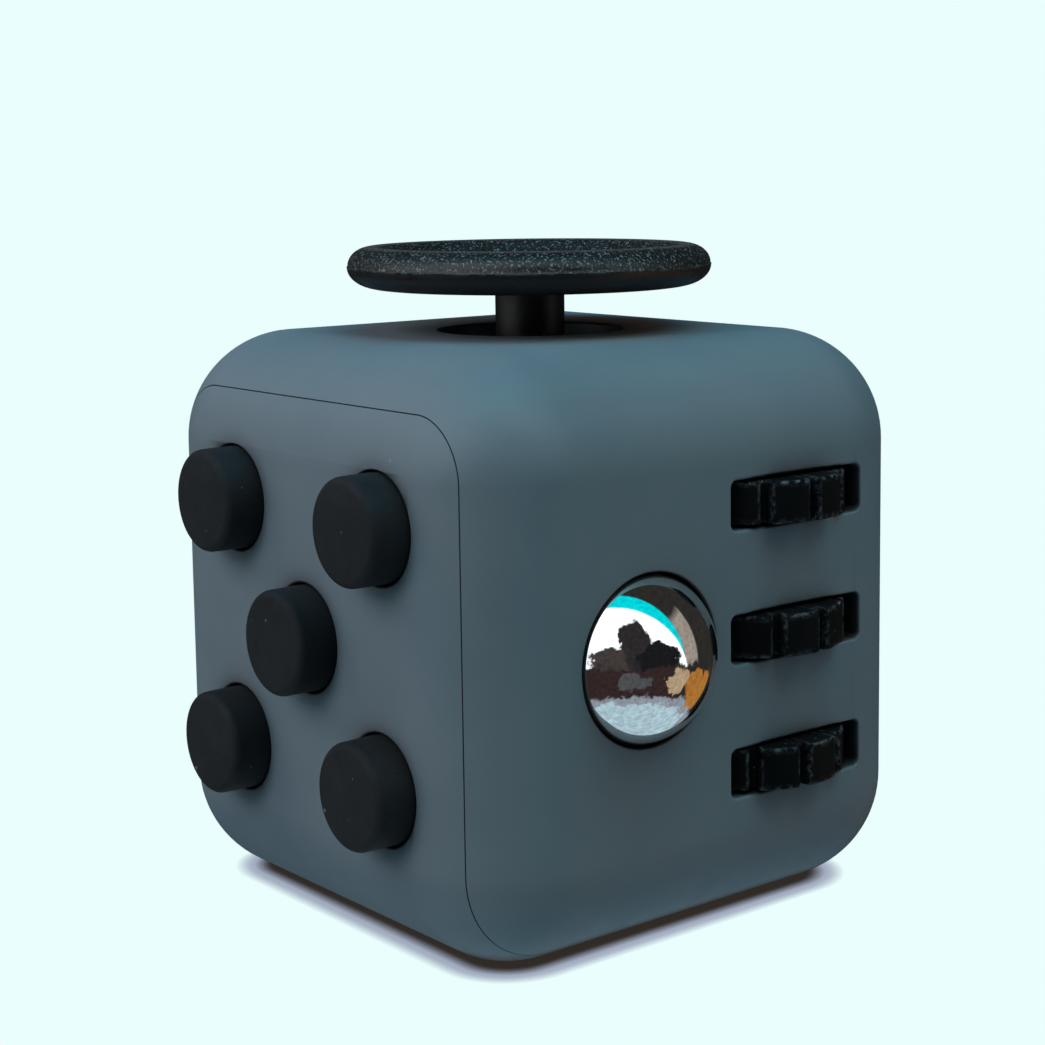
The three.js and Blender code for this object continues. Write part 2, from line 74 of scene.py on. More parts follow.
PILOT_R = 0.74  # screw holes
DISH_R, DISH_DEPTH = 9.0, 2.2  # thumb rest under the base
PIVOT_Y, TILT = 13.6, math.radians(8)


# ---- mesh helpers ------------------------------------------------------------------------------
def make(name, verts, faces):
    """A mesh object from points in millimetres, with its faces turned outward."""
    mesh = bpy.data.meshes.new(name)
    mesh.from_pydata([Vector(v) * MM for v in verts], [], faces)
    bm = bmesh.new()
    bm.from_mesh(mesh)
    bmesh.ops.recalc_face_normals(bm, faces=bm.faces)
    bm.to_mesh(mesh)
    bm.free()
    o = bpy.data.objects.new(name, mesh)
    scene.collection.objects.link(o)
    return o


TO_AXIS = {"x": lambda a, b, h: (h, a, b), "y": lambda a, b, h: (b, h, a), "z": lambda a, b, h: (a, b, h)}


def turned(name, axis, at, profile, segs=64):
    """A body turned about an axis from (radius, height) pairs; a first point repeated last makes a ring."""
    ring = profile[0] == profile[-1]
    pts = profile[:-1] if ring else profile
    verts, rows, place = [], [], TO_AXIS[axis]
    for r, h in pts:
        n = 1 if r < 1e-6 else segs
        rows.append(range(len(verts), len(verts) + n))
        for k in range(n):
            t = TAU * k / segs
            p = place(r * math.cos(t), r * math.sin(t), h)
            verts.append([p[i] + at[i] for i in range(3)])
    faces = []
    pairs = list(zip(rows, rows[1:])) + ([(rows[-1], rows[0])] if ring else [])
    for lo, hi in pairs:
        for k in range(segs):
            q = (k + 1) % segs
            if len(lo) == 1 and len(hi) == 1:
                continue
            if len(lo) == 1:
                faces.append((lo[0], hi[q], hi[k]))
            elif len(hi) == 1:
                faces.append((lo[k], lo[q], hi[0]))
            else:
                faces.append((lo[k], lo[q], hi[q], hi[k]))
    return make(name, verts, faces)


def lofted(name, loops):
    """A closed skin through equal loops of points, with a flat lid at each end."""
    n = len(loops[0])
    verts = [p for loop in loops for p in loop]
    faces = [tuple(range(n)), tuple((len(loops) - 1) * n + k for k in reversed(range(n)))]
    for i in range(len(loops) - 1):
        for k in range(n):
            a, b = i * n + k, i * n + (k + 1) % n
            faces.append((a, b, b + n, a + n))
    return make(name, verts, faces)


def round_rect(u0, u1, v0, v1, r, n=8):
    pts = []
    for i, (cu, cv) in enumerate([(u1 - r, v0 + r), (u1 - r, v1 - r), (u0 + r, v1 - r), (u0 + r, v0 + r)]):
        for k in range(n + 1):
            t = math.pi / 2 * (i - 1 + k / n)
            pts.append((cu + r * math.cos(t), cv + r * math.sin(t)))
    return pts


def round_box(name, x, z0, z1, r, segs):
    bm = bmesh.new()
    bmesh.ops.create_cube(bm, size=1)
    for v in bm.verts:
        v.co = Vector((v.co.x * 2 * x, v.co.y * 2 * x, z0 + (v.co.z + 0.5) * (z1 - z0))) * MM
    bmesh.ops.bevel(bm, geom=list(bm.edges), offset=r * MM, segments=segs, profile=0.5, affect="EDGES")
    mesh = bpy.data.meshes.new(name)
    bm.to_mesh(mesh)
    bm.free()
    o = bpy.data.objects.new(name, mesh)
    scene.collection.objects.link(o)
    return o


def applied(o):
    """Turns an object's modifiers into its mesh."""
    dg = bpy.context.evaluated_depsgraph_get()
    mesh = bpy.data.meshes.new_from_object(o.evaluated_get(dg))
    o.modifiers.clear()
    o.data = mesh
    return o


def combine(o, *others, how="DIFFERENCE"):
    for other in others:
        m = o.modifiers.new("cut", "BOOLEAN")
        m.operation, m.object, m.solver = how, other, "EXACT"
        applied(o)
        bpy.data.objects.remove(other)
    return o


def smooth(o, angle=35, weighted=True):
    o.data.polygons.foreach_set("use_smooth", [True] * len(o.data.polygons))
    o.data.set_sharp_from_angle(angle=math.radians(angle))
    if weighted:
        m = o.modifiers.new("normals", "WEIGHTED_NORMAL")
        m.keep_sharp, m.weight = True, 60
        applied(o)
    return o


def arc(cr, ch, r, a0, a1, n):
    return [(cr + r * math.cos(math.radians(a0 + (a1 - a0) * i / n)),
             ch + r * math.sin(math.radians(a0 + (a1 - a0) * i / n))) for i in range(n + 1)]


def mouth(name, axis, at, r, inside, face, lip, sign=1, segs=64):
    """A cutter for a round hole whose edge is rounded where it meets an outer face."""
    prof = [(0, inside), (r, inside)]
    for i in range(7):
        t = math.pi / 2 * i / 6
        prof.append((r + lip * (1 - math.cos(t)), face - sign * lip * (1 - math.sin(t))))
    prof += [(r + lip, face + sign * 1.5), (0, face + sign * 1.5)]
    return turned(name, axis, at, prof, segs)


def slot_cutter(name, place, box, corner, inside, face, lip, sign=1):
    loops = []

    def loop(h, grow):
        pts = round_rect(box[0] - grow, box[1] + grow, box[2] - grow, box[3] + grow, corner + grow)
        loops.append([place(u, v, h) for u, v in pts])

    loop(inside, 0)
    for i in range(6):
        t = math.pi / 2 * i / 5
        loop(face - sign * lip * (1 - math.sin(t)), lip * (1 - math.cos(t)))
    loop(face + sign * 1.5, lip)
    return lofted(name, loops)


def lower_domain(grow):
    x, z, r, n = SEAM_X + grow, SEAM_Z + grow, SEAM_R + grow, 24
    line = [(-x, -3), (x, -3)]
    for side in (0, 1):
        for i in range(n + 1):
            t = (side + i / n) * math.pi / 2
            line.append(((r - x if side else x - r) + r * math.cos(t), z - r + r * math.sin(t)))
    return lofted("domain", [[(u, y, v) for u, v in line] for y in (-20, 20)])


def finish_piece(o, body, slot, material, *nodes):
    o.data.materials.clear()
    o.data.materials.append(material)
    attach(o, body)
    if nodes:
        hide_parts(*nodes)
    return o


# ---- finishes ------------------------------------------------------------------------------------
class Nodes:
    """A small builder of a Principled material whose colour, roughness and bump come from nodes."""

    def __init__(self, name, rough=0.5, metal=0.0, **fixed):
        self.m = bpy.data.materials.new(name)
        self.m.use_nodes = True
        self.t = self.m.node_tree
        self.shader = self.t.nodes["Principled BSDF"]
        self.shader.inputs["Roughness"].default_value = rough
        self.shader.inputs["Metallic"].default_value = metal
        for key, value in fixed.items():
            self.shader.inputs[key.replace("_", " ")].default_value = value
        self.at = self.t.nodes.new("ShaderNodeTexCoord").outputs["Object"]

    def node(self, kind, inputs=None, **props):
        n = self.t.nodes.new("ShaderNode" + kind)
        for k, v in props.items():
            setattr(n, k, v)
        for k, v in (inputs or {}).items():
            if isinstance(v, bpy.types.NodeSocket):
                self.t.links.new(v, n.inputs[k])
            else:
                n.inputs[k].default_value = v
        return n

    def noise(self, scale, detail=3.0, rough=0.55, distortion=0.0):
        return self.node("TexNoise", {"Vector": self.at, "Scale": scale, "Detail": detail,
                                      "Roughness": rough, "Distortion": distortion}).outputs["Fac"]

    def ramp(self, value, low, high, a=0.0, b=1.0):
        return self.node("MapRange", {"Value": value, "From Min": low, "From Max": high,
                                      "To Min": a, "To Max": b}).outputs["Result"]

    def both(self, *masks):
        out = masks[0]
        for m in masks[1:]:
            out = self.node("Math", {0: out, 1: m}, operation="MULTIPLY").outputs[0]
        return out

    def mix(self, fac, a, b):
        n = self.node("Mix", {"Factor": fac}, data_type="RGBA")
        for socket, v in ((n.inputs[6], a), (n.inputs[7], b)):
            if isinstance(v, bpy.types.NodeSocket):
                self.t.links.new(v, socket)
            else:
                socket.default_value = (*v, 1)
        return n.outputs[2]

    def specks(self, scale, share, size):
        """A few small dots: dust and moulding specks."""
        v = self.node("TexVoronoi", {"Vector": self.at, "Scale": scale, "Randomness": 1.0})
        dot = self.ramp(v.outputs["Distance"], size, size * 0.4)
        split = self.node("SeparateColor", {"Color": v.outputs["Color"]}).outputs["Red"]
        pick = self.node("Math", {0: split, 1: 1 - share}, operation="GREATER_THAN").outputs[0]
        return self.both(dot, pick)

    def scratches(self, scale, squash=(1, 12, 1)):
        warped = self.node("Mapping", {"Vector": self.at, "Scale": squash}).outputs[0]
        n = self.node("TexNoise", {"Vector": warped, "Scale": scale, "Detail": 6.0, "Roughness": 0.7})
        return n.outputs["Fac"]

    def set(self, name, value):
        self.t.links.new(value, self.shader.inputs[name])

    def bump(self, *layers):
        normal = None
        for height, distance, strength in layers:
            n = self.node("Bump", {"Height": height, "Distance": distance * MM, "Strength": strength})
            if normal is not None:
                self.t.links.new(normal, n.inputs["Normal"])
            normal = n.outputs[0]
        self.set("Normal", normal)


DUST = (0.13, 0.14, 0.145)


def body_plastic():
    """Soft-touch slate paint, with painted shade: ambient occlusion darkens its colour in openings, crevices
    and corners.
    """
    s = Nodes("soft_touch_slate", IOR=1.46)
    cloud = s.noise(90, 3)
    grain = s.noise(5200, 2)
    base = s.mix(s.ramp(cloud, 0.35, 0.65), (0.066, 0.098, 0.120), (0.076, 0.108, 0.129))
    rub = s.scratches(260, (1, 1, 5))
    base = s.mix(s.ramp(rub, 0.62, 0.85, 0, 0.12), base, (0.12, 0.15, 0.17))
    base = s.mix(s.specks(900, 0.010, 0.13), base, (0.15, 0.18, 0.20))
    # painted shade: the colour goes near black where ambient occlusion finds nearby geometry
    painted_shade_ao = s.node("AmbientOcclusion", {"Distance": 0.0016}, samples=6).outputs["AO"]
    s.set("Base Color", s.mix(s.ramp(painted_shade_ao, 0.42, 0.86), (0.006, 0.007, 0.008), base))
    s.set("Roughness", s.ramp(s.noise(420, 4), 0.3, 0.7, 0.46, 0.56))
    s.bump((grain, 0.02, 0.22), (s.noise(900, 2), 0.03, 0.06))
    return s.m


def black(name, colour, lift, rough, grain_scale, grain, dust, wear_and_edge_glint=None, shine=0.5):
    """A dark plastic or rubber: cloudy colour, dust specks, grain, and pale marks along marked edges, partly
    rubbed plastic and partly painted edge highlight.
    """
    s = Nodes(name, IOR=1.48, Specular_IOR_Level=shine)
    base = s.mix(s.ramp(s.noise(300, 4), 0.35, 0.7), colour, lift)
    if wear_and_edge_glint:
        # pale marks on marked edges: partly rubbed plastic, partly painted edge highlight
        edge = s.node("Attribute", attribute_name="wear_and_edge_glint").outputs["Fac"]
        base = s.mix(s.both(edge, s.ramp(s.noise(2600, 5, 0.7), 0.46, 0.62)), base, wear_and_edge_glint)
    base = s.mix(s.specks(1100, dust, 0.15), base, DUST)
    s.set("Base Color", s.mix(s.specks(2600, dust * 1.5, 0.16), base, (0.09, 0.095, 0.10)))
    s.set("Roughness", s.ramp(s.noise(700, 4), 0.3, 0.7, rough - 0.06, rough + 0.08))
    s.bump((s.noise(grain_scale, 3, 0.6), 0.03, grain), (s.noise(grain_scale * 0.22, 2), 0.04, grain * 0.35))
    return s.m


def disc_plastic():
    """Spark-textured above the parting line, plainer below it; light specks on the upper rim are painted
    glints, the crest carries a painted highlight line and the recess painted shade.
    """
    s = Nodes("textured_disc_plastic", IOR=1.5, Specular_IOR_Level=0.5)
    height = s.node("SeparateXYZ", {0: s.at}).outputs["Z"]
    above = s.ramp(height, 0.03674, 0.03682)
    line = s.both(s.ramp(height, 0.03668, 0.03673), s.ramp(height, 0.03682, 0.03677))
    grain = s.noise(3000, 3, 0.6)
    base = s.mix(above, (0.0028, 0.0036, 0.0048), (0.0036, 0.0048, 0.0062))
    # painted glints: light specks across the textured upper rim stand in for its sparkle highlights
    glint_specks = s.both(s.ramp(s.noise(6500, 2, 0.5), 0.56, 0.68), above)
    base = s.mix(glint_specks, base, (0.075, 0.092, 0.098))
    # painted shade: ambient occlusion darkens the recess and the rim's inner wall towards dark brown
    painted_shade_ao = s.node("AmbientOcclusion", {"Distance": 0.0030}, samples=6).outputs["AO"]
    base = s.mix(s.ramp(painted_shade_ao, 0.72, 1.0), (0.0030, 0.0022, 0.0020), base)
    # painted highlight: a lighter thin line all along the rim's crest
    crest_highlight = s.ramp(height, 0.03786, 0.03792, 0, 0.55)
    base = s.mix(crest_highlight, base, (0.045, 0.042, 0.045))
    broken = s.both(line, s.ramp(s.noise(1300, 3), 0.45, 0.6))
    base = s.mix(broken, base, (0.035, 0.040, 0.045))
    s.set("Base Color", s.mix(s.specks(1100, 0.006, 0.15), base, DUST))
    s.set("Roughness", s.ramp(s.noise(700, 4), 0.3, 0.7, 0.36, 0.50))
    s.bump((s.both(grain, above), 0.06, 0.8), (grain, 0.03, 0.3))
    return s.m


def metal(name, colour, rough, brushed):
    s = Nodes(name, metal=1.0)
    lines = s.scratches(900, brushed)
    s.set("Base Color", s.mix(s.ramp(lines, 0.3, 0.75), colour, tuple(c * 0.82 for c in colour)))
    s.set("Roughness", s.ramp(lines, 0.3, 0.8, rough, rough + 0.12))
    s.bump((lines, 0.01, 0.12))
    return s.m


def chrome():
    s = Nodes("mirror_chrome", metal=1.0)
    base = s.mix(s.ramp(s.noise(150, 4), 0.3, 0.75), (0.86, 0.88, 0.89), (0.80, 0.82, 0.83))
    s.set("Base Color", s.mix(s.specks(1500, 0.05, 0.16), base, (0.35, 0.34, 0.33)))
    smear = s.ramp(s.noise(260, 6, 0.65, 0.6), 0.5, 0.8, 0.025, 0.10)
    s.set("Roughness", smear)
    s.bump((s.scratches(700, (1, 9, 3)), 0.004, 0.05), (s.noise(120, 2), 0.05, 0.012))
    return s.m


def silicone():
    s = Nodes("grey_silicone", rough=0.45, Subsurface_Weight=0.25, Subsurface_Scale=0.001)
    s.set("Base Color", s.mix(s.ramp(s.noise(500), 0.35, 0.65), (0.30, 0.31, 0.32), (0.36, 0.37, 0.38)))
    s.bump((s.noise(3500, 2), 0.02, 0.2))
    return s.m


M_BODY = body_plastic()
M_BUTTON = black("matt_rubber", (0.0052, 0.0066, 0.0082), (0.0078, 0.0098, 0.0118), 0.70, 5200, 0.55, 0.030,
                 shine=0.22)
M_WHEEL = black("worn_glinting_wheel_plastic", (0.0014, 0.0022, 0.0027), (0.0028, 0.0040, 0.0048), 0.58, 3600, 0.35,
                0.06, wear_and_edge_glint=(0.060, 0.070, 0.078), shine=0.06)
M_DISC = disc_plastic()
M_SWITCH = black("satin_switch_plastic", (0.0085, 0.0095, 0.0100), (0.013, 0.014, 0.015), 0.44, 4600, 0.35,
                 0.015)
M_INNER = black("inner_plastic", (0.016, 0.016, 0.017), (0.022, 0.022, 0.024), 0.5, 3000, 0.30, 0.004)
M_CHROME = chrome()
M_STEEL = metal("plain_steel", (0.56, 0.57, 0.58), 0.24, (1, 1, 14))
M_SILICONE = silicone()
BY_SLOT = {"body_plastic": M_BODY, "button_rubber": M_BUTTON, "wheel_plastic": M_WHEEL,
           "disc_plastic": M_DISC, "switch_plastic": M_SWITCH, "chrome": M_CHROME, "steel": M_STEEL,
           "inner_plastic": M_INNER, "silicone": M_SILICONE}

for part in frame["record"]["subparts"]:
    node = frame["nodes"][part["node"]]
    node.data.materials.clear()
    node.data.materials.append(BY_SLOT[part["material_slot"]])

# ---- body ------------------------------------------------------------------------------------------
def shell_blank(name):
    o = round_box(name, H, 0, SIDE, EDGE_R, 22)
    return combine(o, round_box("hollow", H - WALL, WALL, SIDE - WALL, EDGE_R - WALL, 8))


def rod(axis, at, r, a, b, segs=24):
    return turned("rod", axis, at, [(0, a), (r, a), (r, b), (0, b)], segs)


upper = combine(shell_blank("upper_body"), lower_domain(SEAM_GAP))
stick_posts = [(-9, -8.6), (9, -8.6), (-9, 8.6), (9, 8.6)]
dial_posts = [(-8.8, 25.3), (8.8, 25.3), (-8.8, 7.7), (8.8, 7.7)]
roll_posts = [(-8.9, 24.4, 1.28), (-8.9, 9.0, 1.28), (8.5, 5.9, 1.13)]
combine(upper,
        *[rod("z", (x, y, 0), 1.28, 28.02, 31.5) for x, y in stick_posts],
        *[rod("x", (0, y, z), 1.38, -15, -12.97) for y, z in dial_posts],
        *[rod("x", (0, y, z), r, 4.87, 15) for y, z, r in roll_posts], how="UNION")
clear = BALL_R + 0.1
last = math.degrees(math.acos(BALL_MOUTH_R / clear))
ball_mouth = [(0, BALL[0] - 3), (clear, BALL[0] - 3)] + arc(0, BALL[0], clear, 0, last, 10)
ball_mouth += [(BALL_MOUTH_R + BALL_LIP * (1 - math.cos(t)), H - BALL_LIP * (1 - math.sin(t)))
               for t in (math.pi / 2 * i / 6 for i in range(1, 7))]
ball_mouth += [(BALL_MOUTH_R + BALL_LIP, H + 1.5), (0, H + 1.5)]
cutters = [mouth("hole", "z", (0, 0, 0), 5.42, 30, SIDE, 0.2, segs=96),
           turned("hole", "x", (0, BALL[1], BALL[2]), ball_mouth, 96),
           mouth("hole", "x", (0, 0, 16.5), 7.6, -14, -H, 0.25, -1, 96)]
for z, _ in WHEELS.values():
    cutters.append(slot_cutter("slot", lambda u, v, h: (h, u, v),
                               (SLOT_Y[0], SLOT_Y[1], z - SLOT_H / 2, z + SLOT_H / 2), 0.4, 13.9, H, 0.2))
    cutters.append(rod("z", (WHEEL_X, WHEEL_Y, 0), WHEEL_R + 0.25, z - SLOT_H / 2, z + SLOT_H / 2, 64))
cutters += [rod("z", (x, y, 0), PILOT_R, 27, 31.8) for x, y in stick_posts]
cutters += [rod("x", (0, y, z), PILOT_R, -15.6, -12) for y, z in dial_posts]
cutters += [rod("x", (0, y, z), PILOT_R, 4, 9.5) for y, z, _ in roll_posts]
smooth(combine(upper, *cutters))
finish_piece(upper, "body", "body_plastic", M_BODY, "upper_shell")

lower = combine(shell_blank("lower_body"), lower_domain(-SEAM_GAP), how="INTERSECT")
plate_screws = [(0.5 + dx, 16.9 + dz) for dx in (-10.6, 10.6) for dz in (10.6, -10.6)]
rocker_screws = [(0, 7.8), (0, 25.2)]
combine(lower, rod("z", (0, 0, 0), 10.2, 1.5, 4.2, 64),
        *[rod("y", (x, 0, z), 1.43, -15, -11.67) for x, z in plate_screws],
        *[rod("y", (x, 0, z), 1.48, 11.57, 15) for x, z in rocker_screws], how="UNION")
sphere = (DISH_R ** 2 + DISH_DEPTH ** 2) / (2 * DISH_DEPTH)
bowl = [(0, DISH_DEPTH)]
bowl += [(r, DISH_DEPTH - sphere + math.sqrt(sphere ** 2 - r * r)) for r in (1.2 * i for i in range(1, 8))]
edge_z = bowl[-1][1]
for i in range(1, 7):
    t = i / 6
    q = 1 - t
    bowl.append((q * q * 8.4 + 2 * t * q * DISH_R + t * t * 9.7, q * q * edge_z - 0.001 * t))
bowl += [(9.7, -2), (0, -2)]
cutters = [turned("rest", "z", (0, 0, 0), bowl, 96)]
cutters += [mouth("hole", "y", (x, 0, z), 3.05, -14, -H, 0.16, -1, 64) for x, z in BUTTONS.values()]
cutters.append(slot_cutter("slot", lambda u, v, h: (u, h, v), (-4.3, 4.3, 9.45, 23.55), 0.5, 14, H, 0.25))
cutters += [rod("y", (x, 0, z), PILOT_R, -15.4, -11) for x, z in plate_screws]
cutters += [rod("y", (x, 0, z), PILOT_R, 11, 15.4) for x, z in rocker_screws]
smooth(combine(lower, *cutters))
finish_piece(lower, "body", "body_plastic", M_BODY, "lower_shell")

# ---- buttons ----------------------------------------------------------------------------------------
for where, (x, z) in BUTTONS.items():
    face = -H - BUTTON_PROUD
    prof = [(0, face), (1.2, face + 0.005)] + arc(2.93 - 0.42, face + 0.42, 0.42, -90, 0, 8)
    prof += [(BUTTON_R, face + 1.6), (BUTTON_R, -14.25), (3.35, -14.2), (3.35, -13.6), (0.8, -13.6),
             (0.8, -12.95), (0, -12.95)]
    b = smooth(turned("press_button_" + where, "y", (x, 0, z), prof, 72), 40)
    finish_piece(b, "press_" + where, "button_rubber", M_BUTTON, "button_" + where)

# ---- ball and wheels ----------------------------------------------------------------------------------
bm = bmesh.new()
bmesh.ops.create_cube(bm, size=1)
bmesh.ops.subdivide_edges(bm, edges=list(bm.edges), cuts=27, use_grid_fill=True)
for v in bm.verts:
    q = v.co * 2
    s = Vector([q[i] * math.sqrt(1 - q[(i + 1) % 3] ** 2 / 2 - q[(i + 2) % 3] ** 2 / 2
                                 + q[(i + 1) % 3] ** 2 * q[(i + 2) % 3] ** 2 / 3) for i in range(3)])
    v.co = (s.normalized() * BALL_R + Vector(BALL)) * MM
mesh = bpy.data.meshes.new("rolling_ball")
bm.to_mesh(mesh)
bm.free()
ball = bpy.data.objects.new("rolling_ball", mesh)
scene.collection.objects.link(ball)
finish_piece(smooth(ball, weighted=False), "ball", "chrome", M_CHROME, "chrome_ball")


def wheel(where, z, phase, body):
    """A notched wheel: wide teeth with rounded shoulders, thin rounded rims, a bored middle."""
    n, pitch = 594, 360 / TEETH
    radius, shoulder = [], []
    for k in range(n):
        a = abs(((360 * k / n - phase) / pitch + 0.5) % 1 - 0.5) * pitch
        t = min(max((a - 11.6) / 3.4, 0), 1)
        radius.append(WHEEL_R - NOTCH * t * t * (3 - 2 * t))
        shoulder.append(math.exp(-((a - 12.2) / 0.9) ** 2))
    half = WHEEL_HALF
    rows = [(None, -half, 0), (0.20, -half, 0), (0.10, -half + 0.02, 0.8), (0.03, -half + 0.08, 1),
            (0, -half + 0.2, 0.25), (0, -half + 0.4, 0), (0, half - 0.4, 0), (0, half - 0.2, 0.25),
            (0.03, half - 0.08, 1), (0.10, half - 0.02, 0.8), (0.20, half, 0), (None, half, 0)]
    verts, wear_and_edge_glint = [], []
    for inset, h, w in rows:
        for k in range(n):
            t = TAU * k / n
            r = WHEEL_BORE_R if inset is None else radius[k] - inset
            verts.append((WHEEL_X + r * math.cos(t), WHEEL_Y + r * math.sin(t), z + h))
            # rims and tooth shoulders carry the pale edge marks, partly rubbed plastic and partly painted
            # highlight
            rim = w * (1 if radius[k] > WHEEL_R - 0.3 else 0.25)
            wear_and_edge_glint.append(0 if inset is None else max(rim, 0.75 * shoulder[k]))
    faces = []
    for i in range(len(rows)):
        j = (i + 1) % len(rows)
        for k in range(n):
            q = (k + 1) % n
            faces.append((i * n + k, i * n + q, j * n + q, j * n + k))
    o = make("notched_wheel_" + where, verts, faces)
    attribute = o.data.attributes.new("wear_and_edge_glint", "FLOAT", "POINT")
    attribute.data.foreach_set("value", wear_and_edge_glint)
    return finish_piece(smooth(o, 45, False), body, "wheel_plastic", M_WHEEL, "wheel_" + where)


for where, body in (("upper", "wheel_top"), ("middle", "wheel_mid"), ("lower", "wheel_bottom")):
    wheel(where, *WHEELS[where], body)

# ---- thumb disc --------------------------------------------------------------------------------------
LOW, WIDEST, CREST = 35.52, 36.78, 37.96
prof = [(0, 30.95), (1.9, 30.95), (2.05, 31.1), (2.05, LOW - 0.35)]
prof += arc(2.4, LOW - 0.35, 0.35, 180, 90, 5)[1:] + [(5.5, LOW), (8.9, LOW)]
prof += [(8.9 + 1.83 * math.sin(t), WIDEST - 0.03 - 1.23 * math.cos(t))
         for t in (math.radians(7.5 * i) for i in range(1, 12))]
prof += [(10.735, WIDEST - 0.04), (10.75, WIDEST), (10.72, WIDEST + 0.035), (10.69, WIDEST + 0.07)]
prof += [(9.3 + 1.39 * math.cos(t), WIDEST + 0.07 + (CREST - WIDEST - 0.07) * math.sin(t))
         for t in (math.radians(7.5 * i) for i in range(1, 13))]
prof += [(r, CREST - drop) for r, drop in (
    (9.1, 0.01), (8.92, 0.06), (8.7, 0.17), (8.5, 0.32), (8.3, 0.5), (8.1, 0.65), (7.85, 0.77), (7.5, 0.86),
    (6.9, 0.91), (5.5, 0.94), (0, 0.96))]
disc = combine(turned("thumb_disc", "z", (0, 0, 0), prof, 128), rod("z", (0, 0, 0), PILOT_R, 30, 34.4))
finish_piece(smooth(disc, 40), "thumb_disc", "disc_plastic", M_DISC, "joystick_disc")

prof = [(0, 28.05), (1.25, 28.05), (1.25, 29.7), (8.4, 29.7), (8.4, 30.1), (8.2, 30.3), (7.4, 30.8),
        (7.0, 30.86), (0, 30.86)]
skirt = combine(turned("glide_skirt", "z", (0, 0, 0), prof, 96), rod("z", (0, 0, 0), 0.82, 27, 32))
finish_piece(smooth(skirt, 40), "thumb_disc", "inner_plastic", M_INNER, "joystick_skirt")

# ---- rocker --------------------------------------------------------------------------------------------
R_END, Y_OUT, Y_MID = 6.9, 3.6, 3.1
z_end = math.sqrt(R_END ** 2 - Y_OUT ** 2)
line = [(y, math.sqrt(R_END ** 2 - y * y)) for y in (0.9 + (Y_OUT - 0.9) * i / 10 for i in range(11))]
for i in range(1, 24):
    t = i / 12 - 1
    line.append((Y_MID + (Y_OUT - Y_MID) * abs(t) ** 1.6, -t * z_end))
line += [(y, -z) for y, z in reversed(line[:11])] + [(0.9, -2.2)]
line += [(1.7 * math.cos(math.radians(a)), 1.7 * math.sin(math.radians(a))) for a in range(-115, -246, -10)]
line.append((0.9, 2.2))
c, s = math.cos(TILT), math.sin(TILT)
line = [(PIVOT_Y + y * c + z * s, 16.5 - y * s + z * c) for y, z in line]
rocker = lofted("rocker_cap", [[(x, y, z) for y, z in line] for x in (-4.1, 4.1)])
m = rocker.modifiers.new("edge", "BEVEL")
m.width, m.segments, m.limit_method, m.angle_limit = 0.28 * MM, 4, "ANGLE", math.radians(40)
applied(rocker)
combine(rocker, rod("x", (0, PIVOT_Y, 16.5), 0.86, -7, 7, 48))
finish_piece(smooth(rocker, 35), "rocker_switch", "switch_plastic", M_SWITCH, "rocker")

# ---- dial ------------------------------------------------------------------------------------------------
face = -H - 0.1
prof = [(r, face + sink)
        for r, sink in ((0, 0.55), (2.5, 0.5), (4.6, 0.36), (6.0, 0.12), (6.6, 0.02), (6.9, 0))]
prof += [(7.15 + 0.3 * math.sin(t), face + 0.3 - 0.3 * math.cos(t))
         for t in (math.radians(15 * i) for i in range(7))]
prof += [(7.45, -14.35), (8.4, -14.35), (8.4, -13.6), (2.6, -13.6), (2.6, -11.55), (0, -11.55)]
dial = turned("spin_dial", "x", (0, 0, 16.5), prof, 120)
nub = [(0, face + 1.0), (2.1, face + 1.0), (2.1, face + 0.62), (1.95, face + 0.4), (1.88, face + 0.1),
       (1.87, -H - 0.8)]
nub += [(1.26 + 0.6 * math.cos(t), -H - 1.3 - 0.6 * math.sin(t))
        for t in (math.radians(15 * i) for i in range(6))]
nub += [(0.9, -H - 1.89), (0.5, -H - 1.85), (0, -H - 1.82)]
combine(dial, turned("nub", "x", (0, 3.6, 18.7), nub, 64), how="UNION")
combine(dial, rod("x", (0, 0, 16.5), PILOT_R, -14.5, -10))
finish_piece(smooth(dial, 35), "dial_spinner", "switch_plastic", M_SWITCH, "dial")

# ---- studio ---------------------------------------------------------------------------------------------
PALE = (0.823, 0.991, 0.983)


class World(Nodes):
    """Node helpers for the surroundings, which the mirror ball and the satin skins reflect."""

    def __init__(self, tree):
        self.t = tree

    def calc(self, operation, *values):
        return self.node("Math", dict(enumerate(values)), operation=operation).outputs[0]

    def dot(self, a, b):
        return self.node("VectorMath", {0: a, 1: b}, operation="DOT_PRODUCT").outputs["Value"]

    def over(self, below, mask, colour):
        return self.mix(mask, below, colour)


def disc_mesh(name, rings, segs=96):
    verts = [(0, 0, 0)]
    faces = []
    for i, r in enumerate(rings):
        verts += [(r * math.cos(TAU * k / segs), r * math.sin(TAU * k / segs), 0) for k in range(segs)]
        for k in range(segs):
            a, b = 1 + i * segs + k, 1 + i * segs + (k + 1) % segs
            faces.append((0, a, b) if i == 0 else (a - segs, a, b, b - segs))
    mesh = bpy.data.meshes.new(name)
    mesh.from_pydata(verts, [], faces)
    o = bpy.data.objects.new(name, mesh)
    scene.collection.objects.link(o)
    return o


floor = disc_mesh("floor", [0.02, 0.05, 0.1, 0.25, 0.6, 1.5, 4.0])
floor.visible_glossy = False
# seen directly, the floor shows pale with a painted contact shadow, dark under the body with a cool fringe,
# drawn from ambient occlusion; other rays meet an even cool bounce
floor_material = bpy.data.materials.new("pale_floor")
floor_material.use_nodes = True
floor_material.node_tree.nodes.clear()
f = World(floor_material.node_tree)
painted_contact_shadow_ao = f.node("AmbientOcclusion", {"Distance": 0.0008}, samples=16).outputs["AO"]
painted_shadow_fringe_ao = f.node("AmbientOcclusion", {"Distance": 0.0014}, samples=16).outputs["AO"]
